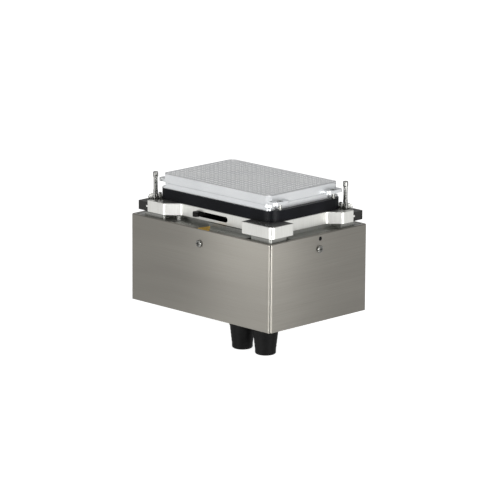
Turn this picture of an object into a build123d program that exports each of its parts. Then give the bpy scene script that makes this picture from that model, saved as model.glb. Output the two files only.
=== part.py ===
from build123d import *
import os
from math import atan2, cos, degrees, hypot, radians, sin, sqrt, tan

# Heated orbital block for microplates. A stainless sleeve holds a small motor, which carries a platform
# round a circle of 1 mm radius. The platform holds an insulated hot plate with a dimpled adapter block
# on it, and a lever under the hot plate that moves two corner carriages with the holding pins.
# Millimetres, +Z up. X runs along the long side, and -Y is the front, with the lever.
# The origin is the middle of the base plate's underside, where the unit is bolted to a deck.

# ---- body ---------------------------------------------------------------------------------------
BODY_L = 147.0            # sleeve, along X
BODY_W = 103.0            # sleeve, along Y
BODY_H = 66.0             # sleeve, from the base to the top of its flange
SLEEVE_T = 1.5            # sheet thickness
SLEEVE_R = 2.6            # outer bend radius of the upright corners
FLANGE_W = 3.0            # flange turned in round the top
SEAL_W = 0.7              # black seal between the flange and the deck
SEAT = 0.2                # gap between the sleeve and what it wraps
BASE_T = 4.0              # base plate
POST_SIDE = 8.0           # square corner posts
POST_IN = 8.0             # their centres, in from the sleeve's outer faces
DECK_DROP = 6.0           # deck slab, from its underside to the sleeve's top
LUG_DROP = 9.0            # lugs under the deck for the side screws
LUG_T = 7.0
SIDE_SCREW_Z = 55.0       # one screw in the middle of each sleeve face
LAMP_Z = 62.7             # small black light window on the right face
LAMP_R = 1.6
LAMP_Y = 0.8
DECK_BOLT_X = 64.0        # tapped holes that hold the unit down, from the middle
DECK_BOLT_Y = 24.0
DECK_BOLT_R = 1.65        # tapping size of M4

# ---- cable glands -------------------------------------------------------------------------------
GLAND_IN_X = 10.2         # gap from the sleeve's right face to the nearest boot
GLAND_IN_Y = 6.2          # and from its front face
GLAND_GAP = 4.4           # between the boots
GLAND_R = 9.8             # boot at the base, and at its tip
GLAND_TIP_R = 8.1
GLAND_DROP = 21.5
GLAND_BORE = 3.5
GLAND_STEM_R = 7.2

# ---- drive --------------------------------------------------------------------------------------
ORBIT = 1.0               # throw of the crank
HOME_ANGLE = 45.0         # where the crank rests
SHAFT_R = 4.0
BEARING_R = 11.0          # main bearings
BEARING_W = 7.0
MOTOR_R = 24.0
MOTOR_Z = 16.0
MOTOR_H = 30.0
MOTOR_WALL = 1.5
STATOR_R = 19.6
ROTOR_R = 14.0
SLOTS = 9                 # stator teeth
BLOCK_R = 25.0            # bearing block under the deck
BLOCK_FLANGE_R = 36.0
BLOCK_BOLT_R = 31.5
DECK_WELL_R = 27.0        # round opening in the deck for the counterweight
IDLER_X = 50.0            # two idler cranks keep the platform square
IDLER_Y = 27.0
IDLER_SHAFT_R = 3.0
IDLER_BUSH_R = 5.0
IDLER_COLLAR_R = 5.4
IDLER_PIN_R = 2.5
BOARD_HALF = 56.0         # controller board
BOARD_FRONT = -20.0
BOARD_REAR = 44.0
BOARD_Z = 10.0
BOARD_T = 1.6

# ---- platform -----------------------------------------------------------------------------------
PLATE_Z = 69.1            # underside of the platform plate
PLATE_T = 8.8
PLATE_GAP = 0.4           # air between the deck plinth and the platform
EDGE_IN = 3.1             # platform's edge, in from the sleeve's outer face
CUT_DEPTH = 9.5           # the middle of each side is set back by this much
FACET_X = 42.6            # where the slanted facets start, from the middle
FACET_Y = 26.8
FACET_RUN = 7.7           # length of the side facet along Y
STEP_X = 39.2             # inner ends of the two solid corners
STEP_Y = 25.8
CORNER_R = 3.4            # solid corners of the platform
PAD_IN = 0.9              # deck plinth, in from the platform's edge
PAD_X = 50.0              # inner ends of the plinth's corner pads
PAD_Y = 31.0
PAD_CUT = 7.4             # the left pad's corner is cut off under the lock carriage
PLINTH_STEP_X = -3.0      # left of here the plinth's middle is set further back
BEARING_SMALL_R = 8.0     # platform bearing
BEARING_SMALL_W = 5.0
COVER_T = 0.8             # sheet that closes the platform from below
COVER_R = 36.0

# ---- hot plate and adapter ----------------------------------------------------------------------
FRAME_T = 8.4             # black insulating frame
FRAME_R = 10.0
FRAME_SIDE = 0.5          # the frame stands this far in from the set-back sides
FRAME_FLOOR = 2.0
FRAME_LEDGE = 4.2         # the hot plate's edge rests on the tray's walls by this much
FRAME_SCREW_IN = 6.0      # frame screws, in from the tray's end walls
FRAME_SCREW_Y = 14.0
MAT_T = 1.4
HEATER_T = 4.3
HEATER_NOTCH_R = 3.6      # clears each adapter screw
FOOT_R = 2.5              # the hot plate's lower corners
FOOT_T = 1.4
SCOOP_R = 4.0             # scoops above them
ADAPTER_T = 6.9
ADAPTER_L = 112.4
ADAPTER_W = 74.6
CORNER_CUT = 3.4          # flats on the adapter's upright corners
WELL_PITCH = 4.5          # the standard grid of small wells
WELLS_X = 24
WELLS_Y = 16
WELL_R = 1.75
WELL_FLOOR_R = 0.9
WELL_DEPTH = 1.7
EAR_OUT = 5.5             # screw ears on the adapter's short sides
EAR_W = 15.5
EAR_T = 2.4
EAR_Y = 28.2
EAR_SCREW_IN = 3.0        # ear screws, in from the ear's outer edge

# ---- lock ---------------------------------------------------------------------------------------
LOCK_ANGLE = 38.0         # swing of the lever
LOCK_LEAD = 4.2           # carriage travel for each radian of lever
LEVER_REST = 21.0         # the lever rests this far left of straight ahead
LEVER_OUT = 2.0           # knob's middle stands this far out of the front face
LEVER_W = 3.0
KNOB_R = 2.6
SLOT_SPARE = 3.1          # lever slot's length past the lever's middle at rest
SLOT_SPARE_OUT = 3.5      # and at the end of the swing
SLOT_H = 4.2
SLOT_UP = 2.0             # slot's lower edge above the platform's underside
HUB_R = 12.4
CAM_R = 32.0
CAM_T = 1.9
CAM_PIN_R = 1.5
CAM_PIN_X = 25.0          # cam pins, from the platform's middle
CAM_PIN_Y = 3.0
CARRIAGE_W = 14.6
CARRIAGE_L = 19.5
CARRIAGE_DOWN = 1.8       # carriage top below the platform's top
TONGUE_W = 6.0
TONGUE_T = 1.8
RIB_W = 1.1               # ribs in the channel walls hold the carriages down
RIB_T = 1.4
PIN_IN = 9.4              # tall pins, in from both platform edges
PIN_R = 1.6
PIN_HEAD_R = 2.0
PIN_COLLAR_R = 1.8
PIN_H = 22.1
SHORT_PIN_IN = 11.8       # short pins
SHORT_PIN_R = 1.2
SHORT_PIN_H = 6.3
PIN_STEM_R = 1.0          # stems pressed into the carriages
PIN_STEM_L = 4.0

# ---- fits ---------------------------------------------------------------------------------------
SLIP = 0.05               # radial clearance of a running fit
LOOSE = 0.3               # between parts that pass each other
PLAY = 0.2                # a screw in its clearance hole
TAP = 0.02                # a screw in its thread
CUT = 1.0                 # how far a cutting tool runs past a face

# ---- levels and places that follow --------------------------------------------------------------
FLANGE_Z = BODY_H - SLEEVE_T
DECK_Z = BODY_H - DECK_DROP
DECK_TOP = BODY_H - 0.05
PLINTH_TOP = PLATE_Z - PLATE_GAP
PLATE_TOP = PLATE_Z + PLATE_T
FRAME_TOP = PLATE_TOP + FRAME_T
HEATER_TOP = FRAME_TOP + HEATER_T
ADAPTER_TOP = HEATER_TOP + ADAPTER_T
INNER_L = BODY_L - 2 * SLEEVE_T - 2 * SEAT
INNER_W = BODY_W - 2 * SLEEVE_T - 2 * SEAT
HX = BODY_L / 2 - EDGE_IN                 # half sizes of the platform
HY = BODY_W / 2 - EDGE_IN
CX = HX - CUT_DEPTH                       # and at its set-back sides
CY = HY - CUT_DEPTH
POST_X = BODY_L / 2 - POST_IN
POST_Y = BODY_W / 2 - POST_IN
HOME = (ORBIT * cos(radians(HOME_ANGLE)), ORBIT * sin(radians(HOME_ANGLE)))
GLAND_X = BODY_L / 2 - GLAND_IN_X - GLAND_R
GLAND_Y = GLAND_IN_Y + GLAND_R - BODY_W / 2
GLANDS = [(GLAND_X, GLAND_Y), (GLAND_X - 2 * GLAND_R - GLAND_GAP, GLAND_Y)]
IDLERS = [(-IDLER_X, IDLER_Y), (IDLER_X, -IDLER_Y)]
CORNERS = [(sx, sy) for sx in (-1, 1) for sy in (-1, 1)]
MOTOR_TOP = MOTOR_Z + MOTOR_H
BLOCK_TOP = DECK_Z + 3.0
WEB_Z = BLOCK_TOP + LOOSE
SLOT_Z = PLATE_Z + SLOT_UP
TONGUE_Z = SLOT_Z + 0.1
CAM_Z = TONGUE_Z + TONGUE_T + PLAY
CAM_TOP = CAM_Z + CAM_T
POCKET_TOP = CAM_TOP + LOOSE
CARRIAGE_Z = PLATE_Z + COVER_T + PLAY
CARRIAGE_TOP = PLATE_TOP - CARRIAGE_DOWN
CHANNEL_W = CARRIAGE_W + LOOSE
SLOT_X0 = -CY * tan(radians(LEVER_REST)) - SLOT_SPARE
SLOT_X1 = CY * tan(radians(LOCK_ANGLE - LEVER_REST)) + SLOT_SPARE_OUT
LEVER_REACH = (CY + LEVER_OUT) / cos(radians(LEVER_REST))
CAM_PIN_IN = (HX + HY - CAM_PIN_X - CAM_PIN_Y) / sqrt(2)      # the same place in the channel's frame
CAM_PIN_OFF = (HY - CAM_PIN_Y - HX + CAM_PIN_X) / sqrt(2)
TONGUE_L = hypot(CAM_PIN_IN - CARRIAGE_L, CAM_PIN_OFF)
TONGUE_TURN = atan2(CAM_PIN_OFF, CAM_PIN_IN - CARRIAGE_L)
TRAVEL = LOCK_LEAD * radians(LOCK_ANGLE)
STOP_IN = CHANNEL_W / sqrt(2) + 0.7
FRAME_HX = CX - FRAME_SIDE
FRAME_HY = CY - FRAME_SIDE
FRAME_FLOOR_TOP = PLATE_TOP + FRAME_FLOOR
TRAY_HX = ADAPTER_L / 2 - FRAME_LEDGE
TRAY_HY = ADAPTER_W / 2 - FRAME_LEDGE
MAT_Z = FRAME_TOP - MAT_T
EAR_X = ADAPTER_L / 2 + EAR_OUT - EAR_SCREW_IN
BOARD_POSTS = [(sx * (BOARD_HALF - 4), y) for sx in (-1, 1) for y in (BOARD_FRONT + 4, BOARD_REAR - 4)]
FRAME_SCREWS = [(sx * (TRAY_HX - FRAME_SCREW_IN), sy * FRAME_SCREW_Y) for sx, sy in CORNERS]
COVER_SCREW_R = (CAM_R + COVER_R) / 2 + 0.2
EARTH = (9.5 - BODY_L / 2, 0.0)


# ---- shapes used by many pieces -----------------------------------------------------------------
def box(x0, x1, y0, y1, z0, z1):
    """Block between two corners."""
    return Pos((x0 + x1) / 2, (y0 + y1) / 2, (z0 + z1) / 2) * Box(abs(x1 - x0), abs(y1 - y0), z1 - z0)


def rod(x, y, z0, z1, r):
    """Upright cylinder."""
    return Pos(x, y, (z0 + z1) / 2) * Cylinder(r, z1 - z0)


def tube(x, y, z0, z1, r_out, r_in):
    """Upright ring."""
    return rod(x, y, z0, z1, r_out) - rod(x, y, z0 - CUT, z1 + CUT, r_in)


def slab(lx, ly, z0, z1, r):
    """Centred plate with rounded upright corners."""
    return Pos(0, 0, z0) * extrude(RectangleRounded(lx, ly, r), z1 - z0)


def prism(points, z0, z1):
    """Upright prism on a closed outline."""
    return Pos(0, 0, z0) * extrude(make_face(Polyline(*points, close=True)), z1 - z0)


def upright_edge(part, x, y):
    """The upright edge that stands nearest to a plan point."""
    edges = part.edges().filter_by(Axis.Z)
    return edges.sort_by(lambda e: (e.center().X - x) ** 2 + (e.center().Y - y) ** 2)[0]


def ring_points(count, radius, start=0.0):
    """Evenly spaced plan points on a circle."""
    angles = [radians(start + 360 * i / count) for i in range(count)]
    return [(radius * cos(a), radius * sin(a)) for a in angles]


def top_round(part, r):
    """Round the rim of a piece's top face."""
    return fillet(part.faces().sort_by(Axis.Z)[-1].outer_wire().edges(), r)


def pan_screw(head_r, head_h, shank_r, length):
    """Pan-head screw with a cross recess, seated at z = 0 and pointing down."""
    head = top_round(extrude(Circle(head_r), head_h), head_h * 0.55)
    long, wide = head_r * 1.1, head_r * 0.28
    cross = box(-long / 2, long / 2, -wide / 2, wide / 2, head_h * 0.4, head_h + CUT)
    cross += box(-wide / 2, wide / 2, -long / 2, long / 2, head_h * 0.4, head_h + CUT)
    return head - cross + rod(0, 0, -length, 0, shank_r)


def flat_screw(head_r, shank_r, length):
    """Countersunk screw with a hexagon socket, level with z = 0 and pointing down."""
    depth = head_r - shank_r
    screw = Pos(0, 0, -depth / 2) * Cone(shank_r, head_r, depth)
    screw += rod(0, 0, -length, -depth, shank_r)
    return screw - Pos(0, 0, -depth * 0.7) * extrude(RegularPolygon(head_r * 0.45, 6), depth)


def flat_seat(head_r, shank_r, length):
    """What to cut for a countersunk screw: a cone, then a clearance hole."""
    r, s = head_r + PLAY / 2, shank_r + PLAY
    depth = head_r - shank_r
    seat = Pos(0, 0, -depth / 2) * Cone(s, r, depth) + rod(0, 0, -length, -depth, s)
    return seat + rod(0, 0, 0, CUT, r)


def together(solids):
    """Several separate solids that share a node."""
    return Compound([s for part in solids for s in part.solids()])


def on_platform(part):
    """Move a piece from the platform's own middle to where the platform rests."""
    return Pos(HOME[0], HOME[1], 0) * part


def at_corner(side):
    """Frame of a lock channel: X runs from the platform's corner inwards along the diagonal."""
    return Pos(side * HX, side * HY, 0) * Rot(0, 0, 45 if side < 0 else 225)


def tongue_frame():
    """Within a channel: X runs from the carriage's inner end to the cam pin."""
    return Pos(CARRIAGE_L, 0, 0) * Rot(0, 0, degrees(TONGUE_TURN))


# ---- fixed body ---------------------------------------------------------------------------------
def sleeve():
    """Bent stainless wrap with a narrow flange turned in at the top."""
    skin = top_round(slab(BODY_L, BODY_W, 0, BODY_H, SLEEVE_R), 0.8)
    inner_r = SLEEVE_R - SLEEVE_T
    skin -= slab(BODY_L - 2 * SLEEVE_T, BODY_W - 2 * SLEEVE_T, -CUT, FLANGE_Z, inner_r)
    skin -= slab(BODY_L - 2 * FLANGE_W, BODY_W - 2 * FLANGE_W, FLANGE_Z - CUT, BODY_H + CUT, inner_r)
    skin -= Pos(0, 0, SIDE_SCREW_Z) * Rot(90, 0, 0) * Cylinder(1.5 + PLAY, BODY_W + CUT)
    skin -= Pos(0, 0, SIDE_SCREW_Z) * Rot(0, 90, 0) * Cylinder(1.5 + PLAY, BODY_L + CUT)
    return skin - Pos(BODY_L / 2, LAMP_Y, LAMP_Z) * Rot(0, 90, 0) * Cylinder(LAMP_R, 4 * SLEEVE_T)


def base_plate():
    """Floor of the unit, tapped for the hold-down bolts and bored for the glands."""
    plate = slab(INNER_L, INNER_W, 0, BASE_T, 1.2)
    for sx, sy in CORNERS:
        plate -= rod(sx * DECK_BOLT_X, sy * DECK_BOLT_Y, -CUT, BASE_T + CUT, DECK_BOLT_R)
        plate -= Pos(sx * POST_X, sy * POST_Y, 0) * Rot(180, 0, 0) * flat_seat(3.0, 1.5, BASE_T + CUT)
    for x, y in GLANDS:
        plate -= rod(x, y, -CUT, BASE_T + CUT, GLAND_STEM_R + PLAY)
    for x, y in BOARD_POSTS + [EARTH]:
        plate -= rod(x, y, BASE_T / 2, BASE_T + CUT, 1.5 + TAP)
    return plate


def corner_posts():
    """Square spacers between the base plate and the deck, round the tie screws."""
    posts = []
    for sx, sy in CORNERS:
        post = Box(POST_SIDE, POST_SIDE, DECK_Z - BASE_T) - Cylinder(1.5 + PLAY, DECK_Z)
        post = chamfer(post.edges().filter_by(Axis.Z), 1.0)
        posts.append(Pos(sx * POST_X, sy * POST_Y, (DECK_Z + BASE_T) / 2) * post)
    return together(posts)


def tie_screws():
    """Long screws from below, through the posts into the deck."""
    screw = Rot(180, 0, 0) * flat_screw(3.0, 1.5, DECK_Z + 4.6)
    return together([Pos(sx * POST_X, sy * POST_Y, 0) * screw for sx, sy in CORNERS])


def side_screws():
    """Pan heads in the middle of each sleeve face, into the deck's lugs."""
    screw = pan_screw(2.8, 1.5, 1.5, 7.0)
    sides = [(BODY_L / 2, 0, 90), (0, BODY_W / 2, 180), (-BODY_L / 2, 0, 270), (0, -BODY_W / 2, 0)]
    screw = Rot(90, 0, 0) * screw
    return together([Pos(x, y, SIDE_SCREW_Z) * Rot(0, 0, turn) * screw for x, y, turn in sides])


def plinth_half():
    """Front half of the plinth's outline, from the left pad to the right pad."""
    px, py = HX - PAD_IN, HY - PAD_IN
    deep = CY - 4.0
    return [(-CX, -FACET_Y), (-px, -FACET_Y),
            (-px, PAD_CUT - py), (PAD_CUT - px, -py), (-FACET_X, -py), (-FACET_X, -deep),
            (PLINTH_STEP_X, -deep), (PLINTH_STEP_X, -CY), (PAD_X, -CY), (PAD_X, -py), (px, -py),
            (px, -PAD_Y), (CX, -PAD_Y)]


def deck_frame():
    """Aluminium deck: slab under the flange, floor inside it, and a plinth under the platform."""
    deck = slab(INNER_L, INNER_W, DECK_Z, FLANGE_Z - 0.1, 1.2)
    lx, ly = BODY_L - 2 * FLANGE_W, BODY_W - 2 * FLANGE_W
    deck += slab(lx - 2 * SEAL_W, ly - 2 * SEAL_W, DECK_Z, DECK_TOP, 1.1)
    half = plinth_half()
    plinth = prism(half + [(-x, -y) for x, y in half], DECK_TOP - CUT, PLINTH_TOP)
    for s in (-1, 1):
        plinth = fillet(upright_edge(plinth, s * (HX - PAD_IN), s * (PAD_IN - HY)), 1.8)
        plinth += rod(s * FACET_X, s * (HY - PAD_IN - 1.2), DECK_TOP - CUT, PLINTH_TOP, 1.3)
        plinth += rod(s * (FACET_X - CUT_DEPTH), s * (CY + 1.2), DECK_TOP - CUT, PLINTH_TOP, 1.9)
    deck += plinth
    z0, z1 = DECK_TOP - 3, PLINTH_TOP + CUT
    for s in (-1, 1):
        deck -= box(s * PAD_X, s * (PAD_X - 5), s * (-CY - 8.5), s * (-CY - 4.5), z0, z1)
        deck -= box(s * (CX + 4.5), s * (CX + 8.5), s * -PAD_Y, s * (5 - PAD_Y), z0, z1)
    lug_x, lug_y = INNER_L / 2, INNER_W / 2
    for s in (-1, 1):
        deck += box(s * lug_x, s * (lug_x - LUG_T), -7, 7, DECK_Z - LUG_DROP, DECK_Z + CUT)
        deck += box(-7, 7, s * lug_y, s * (lug_y - LUG_T), DECK_Z - LUG_DROP, DECK_Z + CUT)
        deck -= Pos(s * lug_x, 0, SIDE_SCREW_Z) * Rot(0, 90, 0) * Cylinder(1.5 + TAP, 2 * LUG_T - 2)
        deck -= Pos(0, s * lug_y, SIDE_SCREW_Z) * Rot(90, 0, 0) * Cylinder(1.5 + TAP, 2 * LUG_T - 2)
    for sx, sy in CORNERS:
        deck -= rod(sx * POST_X, sy * POST_Y, DECK_Z - CUT, DECK_Z + 4.9, 1.5 + TAP)
    for x, y in IDLERS:
        deck -= rod(x, y, DECK_Z - CUT, PLINTH_TOP + CUT, IDLER_BUSH_R)
        deck -= rod(x, y, DECK_TOP, PLINTH_TOP + CUT, IDLER_COLLAR_R + LOOSE)
    for x, y in ring_points(4, BLOCK_BOLT_R, 45):
        deck -= rod(x, y, DECK_Z - CUT, DECK_TOP + 1, 1.5 + TAP)
    deck -= Pos(BODY_L / 2, LAMP_Y, LAMP_Z) * Rot(0, 90, 0) * Cylinder(LAMP_R + PLAY, 12)
    return deck - rod(0, 0, DECK_Z - CUT, PLINTH_TOP + CUT, DECK_WELL_R)


def deck_seal():
    """Black silicone cord in the joint between the flange and the deck floor."""
    lx, ly = BODY_L - 2 * FLANGE_W, BODY_W - 2 * FLANGE_W
    ring = slab(lx, ly, FLANGE_Z - 0.1, BODY_H - 0.4, 1.1)
    return ring - slab(lx - 2 * SEAL_W, ly - 2 * SEAL_W, FLANGE_Z - CUT, BODY_H + CUT, 1.1)


def lamp():
    """Black light window behind the small hole in the right face."""
    return Pos(BODY_L / 2 - 2.6, LAMP_Y, LAMP_Z) * Rot(0, 90, 0) * Cylinder(LAMP_R - 0.05, 4.0)


def warning_label():
    """Plain amber triangle, stuck over the joint between the deck and the flange."""
    front = 0.7 - BODY_W / 2
    label = prism([(-2.8, front), (-0.6, front + 11.4), (9.8, front)], BODY_H, BODY_H + 0.2)
    return fillet(label.edges().filter_by(Axis.Z), 0.8)


def gland_body(x, y):
    """Threaded stem through the base plate, with its flange and the stub that the boot grips."""
    body = rod(0, 0, -2.0, 0, GLAND_R) + rod(0, 0, 0, BASE_T + 6, GLAND_STEM_R)
    body += rod(0, 0, -10.0, -2.0, 6.0)
    return Pos(x, y, 0) * (body - rod(0, 0, -12, BASE_T + 8, GLAND_BORE))


def gland_boot(x, y):
    """Tapered rubber boot below the base, ribbed near its tip."""
    height = GLAND_DROP - 2.0
    boot = Pos(0, 0, -2.0 - height / 2) * Cone(GLAND_TIP_R, GLAND_R, height)
    boot = fillet(boot.faces().sort_by(Axis.Z)[0].edges(), 0.8)
    boot -= rod(0, 0, -10.0, 0, 6.0 + TAP)
    boot -= rod(0, 0, -GLAND_DROP - CUT, -9, GLAND_BORE)
    return Pos(x, y, 0) * boot


def gland_nut(x, y):
    """Hexagon nut that clamps the gland from inside."""
    nut = Pos(0, 0, BASE_T) * extrude(RegularPolygon(GLAND_R, 6), 3.5)
    return Pos(x, y, 0) * (nut - rod(0, 0, 0, BASE_T + 6, GLAND_STEM_R + TAP))


def controller_board():
    """Printed board under the motor, with its larger chips."""
    board = box(-BOARD_HALF, BOARD_HALF, BOARD_FRONT, BOARD_REAR, BOARD_Z, BOARD_Z + BOARD_T)
    for x, y in BOARD_POSTS:
        board -= rod(x, y, BOARD_Z - CUT, BOARD_Z + BOARD_T + CUT, 1.6)
    top = BOARD_Z + BOARD_T
    board += box(-40, -28, 18, 30, top, top + 1.4)
    board += box(30, 40, 20, 30, top, top + 1.4)
    for i in range(6):
        board += box(-46 + 5 * i, -44 + 5 * i, 34, 37, top, top + 1.0)
    return board


def board_posts():
    """Hexagon spacers with screws that hold the board up."""
    post = Pos(0, 0, BASE_T) * extrude(RegularPolygon(3.0, 6), BOARD_Z - BASE_T)
    post += rod(0, 0, BASE_T / 2 + 0.1, BASE_T, 1.5)
    top = BOARD_Z + BOARD_T
    post += rod(0, 0, BOARD_Z, top, 1.5) + rod(0, 0, top, top + 1.6, 2.6)
    return together([Pos(x, y, 0) * post for x, y in BOARD_POSTS])


def board_sockets():
    """Two plug sockets near the board's front edge, behind the glands."""
    top = BOARD_Z + BOARD_T
    spots = [BOARD_HALF - 15.5, BOARD_HALF - 27.5]
    return together([box(x - 5.5, x + 5.5, BOARD_FRONT, BOARD_FRONT + 8, top, top + 9) for x in spots])


# ---- drive --------------------------------------------------------------------------------------
def bearing_block():
    """Flanged block that hangs from the deck and carries both main bearings."""
    block = rod(0, 0, MOTOR_TOP, DECK_Z, BLOCK_R) + rod(0, 0, DECK_Z - 4, DECK_Z, BLOCK_FLANGE_R)
    block += rod(0, 0, DECK_Z, BLOCK_TOP, 16)
    block -= rod(0, 0, MOTOR_TOP - CUT, BLOCK_TOP + CUT, BEARING_R)
    for x, y in ring_points(4, BLOCK_BOLT_R, 45):
        block -= rod(x, y, DECK_Z - 5, DECK_Z + CUT, 1.5 + PLAY)
    for x, y in ring_points(3, MOTOR_R - 2.8, 30):
        block -= rod(x, y, MOTOR_TOP - CUT, MOTOR_TOP + 7, 1.25 + TAP)
    return block


def block_screws():
    """Screws from below, through the block's flange into the deck."""
    screw = Rot(180, 0, 0) * pan_screw(2.8, 1.8, 1.5, 8.0)
    return together([Pos(x, y, DECK_Z - 4) * screw for x, y in ring_points(4, BLOCK_BOLT_R, 45)])


def main_bearing(z):
    """Shielded ball bearing."""
    ring = tube(0, 0, z, z + BEARING_W, BEARING_R, SHAFT_R)
    for end in (z, z + BEARING_W):
        ring -= tube(0, 0, end - 0.3, end + 0.3, BEARING_R - 1.6, SHAFT_R + 2.0)
    return ring


def motor_can():
    """Drawn steel cup round the stator, screwed to the bearing block."""
    can = rod(0, 0, MOTOR_Z, MOTOR_TOP, MOTOR_R)
    can -= rod(0, 0, MOTOR_Z + MOTOR_WALL, MOTOR_TOP + CUT, MOTOR_R - MOTOR_WALL)
    can -= rod(0, 0, MOTOR_Z - CUT, MOTOR_TOP, 6.0)
    for x, y in ring_points(3, MOTOR_R - 2.8, 30):
        can -= rod(x, y, MOTOR_Z - CUT, MOTOR_Z + 3, 1.25 + PLAY)
    return can


def motor_screws():
    """Long screws that pull the can up against the block."""
    screw = Rot(180, 0, 0) * pan_screw(2.2, 1.4, 1.25, MOTOR_H + 6)
    return together([Pos(x, y, MOTOR_Z) * screw for x, y in ring_points(3, MOTOR_R - 2.8, 30)])


def stator():
    """Laminated ring with inward teeth."""
    core = tube(0, 0, MOTOR_Z + 5, MOTOR_TOP - 5, STATOR_R, STATOR_R - 2.6)
    for i in range(SLOTS):
        tooth = box(ROTOR_R + 0.5, STATOR_R - 2, -1.5, 1.5, MOTOR_Z + 5, MOTOR_TOP - 5)
        core += Rot(0, 0, 360 * i / SLOTS) * tooth
    return core


def windings():
    """Copper coils in the gaps between the teeth."""
    coil = box(ROTOR_R + 0.9, STATOR_R - 3.1, -3.0, 3.0, MOTOR_Z + 3.6, MOTOR_TOP - 3.6)
    coil = fillet(coil.edges().filter_by(Axis.X), 0.8)
    return together([Rot(0, 0, 360 * (i + 0.5) / SLOTS) * coil for i in range(SLOTS)])


def crank_shaft():
    """Motor shaft with a round web and the offset pin that carries the platform."""
    r = SHAFT_R - SLIP
    shaft = rod(0, 0, BOARD_Z + BOARD_T + 1.0, WEB_Z, r) + rod(0, 0, WEB_Z, PLATE_Z - 1.4, 7.0)
    shaft += rod(HOME[0], HOME[1], PLATE_Z - 1.4, POCKET_TOP - 1.0, r)
    return chamfer(shaft.faces().sort_by(Axis.Z)[-1].edges(), 0.5)


def rotor():
    """Magnet ring on its hub."""
    ring = tube(0, 0, MOTOR_Z + 5, MOTOR_TOP - 5, ROTOR_R, SHAFT_R - SLIP + TAP)
    return ring - tube(0, 0, MOTOR_Z, MOTOR_Z + 9, ROTOR_R - 3, SHAFT_R + 3)


def counterweight():
    """Steel half-disc opposite the crank pin."""
    r = DECK_WELL_R - 1.5
    disc = rod(0, 0, WEB_Z, PLATE_Z - 1.4, r)
    disc -= Rot(0, 0, HOME_ANGLE) * box(3, 2 * r, -r - CUT, r + CUT, WEB_Z - CUT, PLATE_Z)
    disc += rod(0, 0, WEB_Z, PLATE_Z - 1.4, 10.5)
    return disc - rod(0, 0, WEB_Z - CUT, PLATE_Z, 7.0 + TAP)


def home_flag():
    """Thin disc with one tab, which breaks the home sensor's beam."""
    z = BOARD_Z + BOARD_T + 1.6
    flag = tube(0, 0, z, z + 0.8, 9.0, SHAFT_R - SLIP + TAP)
    return flag + (box(8, 16, -3.2, 3.2, z, z + 0.8) & rod(0, 0, z, z + 0.8, 15.5))


def home_sensor():
    """Fork sensor on the board, round the flag's edge."""
    z = BOARD_Z + BOARD_T
    fork = box(12.4, 19, -3.5, 3.5, z, MOTOR_Z - LOOSE)
    return fork - box(11, 17, -4, 4, z + 1.1, z + 3.0)


def idler(x, y):
    """Small crank that turns in step with the main one."""
    crank = rod(0, 0, DECK_Z - 4, DECK_TOP + 0.1, IDLER_SHAFT_R - SLIP)
    crank += rod(0, 0, DECK_TOP + 0.1, PLINTH_TOP - 0.3, IDLER_COLLAR_R)
    crank += rod(HOME[0], HOME[1], PLINTH_TOP - 0.3, POCKET_TOP - 1.2, IDLER_PIN_R - SLIP)
    crank -= tube(0, 0, DECK_Z - 3.4, DECK_Z - 2.8, IDLER_SHAFT_R + 1, IDLER_SHAFT_R - 0.6)
    return Pos(x, y, 0) * crank


def idler_bushes():
    """Bronze bushes in the deck for the idlers."""
    r = IDLER_BUSH_R - TAP
    return together([tube(x, y, DECK_Z - 2.4, DECK_TOP, r, IDLER_SHAFT_R) for x, y in IDLERS])


# ---- platform -----------------------------------------------------------------------------------
def platform_outline():
    """The whole outline: the front half, and the same turned half round."""
    half = [(-CX, FACET_RUN - FACET_Y), (-HX, -FACET_Y), (-HX, -HY), (-FACET_X, -HY),
            (-FACET_X + CUT_DEPTH, -CY), (STEP_X, -CY), (STEP_X, -HY), (HX, -HY), (HX, -STEP_Y),
            (CX, -STEP_Y)]
    return half + [(-x, -y) for x, y in half]


def cover_outline(grow, z0, z1):
    """Round cover with an arm over each lock channel."""
    shape = rod(0, 0, z0, z1, COVER_R + grow)
    for side in (-1, 1):
        arm = box(13.6 - grow, CAM_PIN_IN, -9 - grow, 9 + grow, z0, z1)
        shape += at_corner(side) * arm
    return shape


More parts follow.
